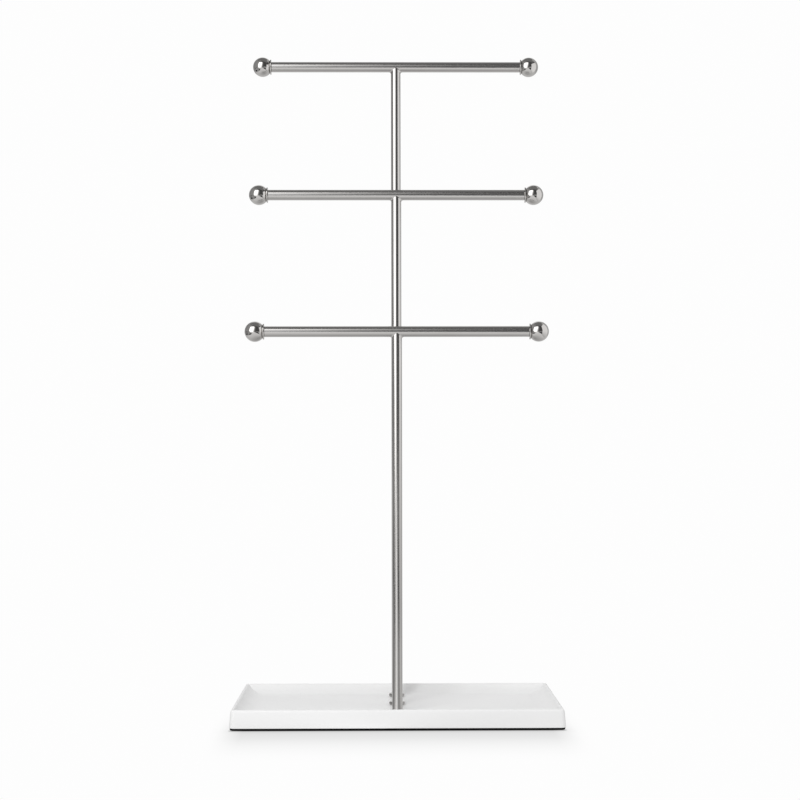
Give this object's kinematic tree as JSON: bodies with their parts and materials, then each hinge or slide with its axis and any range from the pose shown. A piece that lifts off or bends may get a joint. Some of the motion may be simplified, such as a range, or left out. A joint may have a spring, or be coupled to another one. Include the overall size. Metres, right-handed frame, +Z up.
{
  "type": "tiered necklace stand",
  "caption": "Tiered T-bar necklace stand: ball-ended metal crossbars on slim poles of rising height, standing in a shallow dished white tray with a thin black non-slip pad.",
  "frame": {"origin": "centre of the base pad's underside, where the stand rests on the table", "axes": "+Z up along the poles; +X along the crossbars, to the right seen from the front; -Y towards the front, where the shortest pole stands"},
  "size_m": [0.2306, 0.127, 0.483],
  "materials": {
    "tray_white": "smooth white moulding with a soft satin gloss",
    "pad_black": "matt black non-slip sheet",
    "nickel_tube": "bright nickel plate on drawn steel tube",
    "polished_nickel": "polished nickel plate",
    "zinc_steel": "zinc-plated steel"
  },
  "bodies": {
    "root": {"tray_shell": "tray_white", "ballast_plate": "zinc_steel", "base_pad": "pad_black", "front_pole": "nickel_tube", "front_base_ring": "polished_nickel", "front_threaded_plug": "zinc_steel", "front_foot_screw": "zinc_steel", "front_crossbar": "nickel_tube", "front_left_ball_finial": "polished_nickel", "front_left_end_collar": "polished_nickel", "front_right_ball_finial": "polished_nickel", "front_right_end_collar": "polished_nickel", "middle_pole": "nickel_tube", "middle_base_ring": "polished_nickel", "middle_threaded_plug": "zinc_steel", "middle_foot_screw": "zinc_steel", "middle_crossbar": "nickel_tube", "middle_left_ball_finial": "polished_nickel", "middle_left_end_collar": "polished_nickel", "middle_right_ball_finial": "polished_nickel", "middle_right_end_collar": "polished_nickel", "back_pole": "nickel_tube", "back_base_ring": "polished_nickel", "back_threaded_plug": "zinc_steel", "back_foot_screw": "zinc_steel", "back_crossbar": "nickel_tube", "back_left_ball_finial": "polished_nickel", "back_left_end_collar": "polished_nickel", "back_right_ball_finial": "polished_nickel", "back_right_end_collar": "polished_nickel"}
  },
  "joints": []
}
